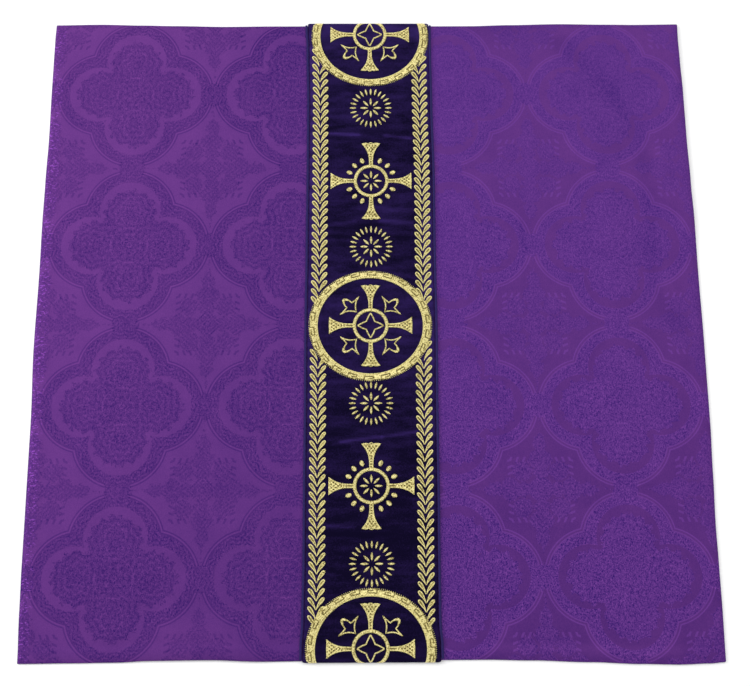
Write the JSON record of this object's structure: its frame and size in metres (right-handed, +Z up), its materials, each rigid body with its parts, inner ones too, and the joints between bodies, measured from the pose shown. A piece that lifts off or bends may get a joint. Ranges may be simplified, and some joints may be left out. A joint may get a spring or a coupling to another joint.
{
  "type": "chalice veil",
  "caption": "Square violet damask chalice veil, lying flat, with a dark velvet orphrey band down the middle, navy piping and raised gold embroidery.",
  "frame": {"origin": "middle of the footprint, on the surface that the veil lies on", "axes": "+Z up off the cloth's face, +Y along the band towards the far edge, +X to the right across the cloth"},
  "size_m": [0.5542, 0.5523, 0.0053],
  "materials": {
    "damask": "satin-ground damask weave with a soft sheen",
    "velvet": "short velvet pile",
    "piping": "plain woven piping",
    "gold_thread": "lustrous satin-stitched thread"
  },
  "bodies": {
    "root": {"veil_cloth": "damask", "orphrey_band": "velvet", "piping_left": "piping", "piping_right": "piping", "roundel_top": "gold_thread", "roundel_middle": "gold_thread", "roundel_bottom": "gold_thread", "cross_top": "gold_thread", "cross_upper": "gold_thread", "cross_middle": "gold_thread", "cross_lower": "gold_thread", "cross_bottom": "gold_thread", "leaves_upper_left": "gold_thread", "leaves_upper_right": "gold_thread", "leaves_lower_left": "gold_thread", "leaves_lower_right": "gold_thread"}
  },
  "joints": []
}
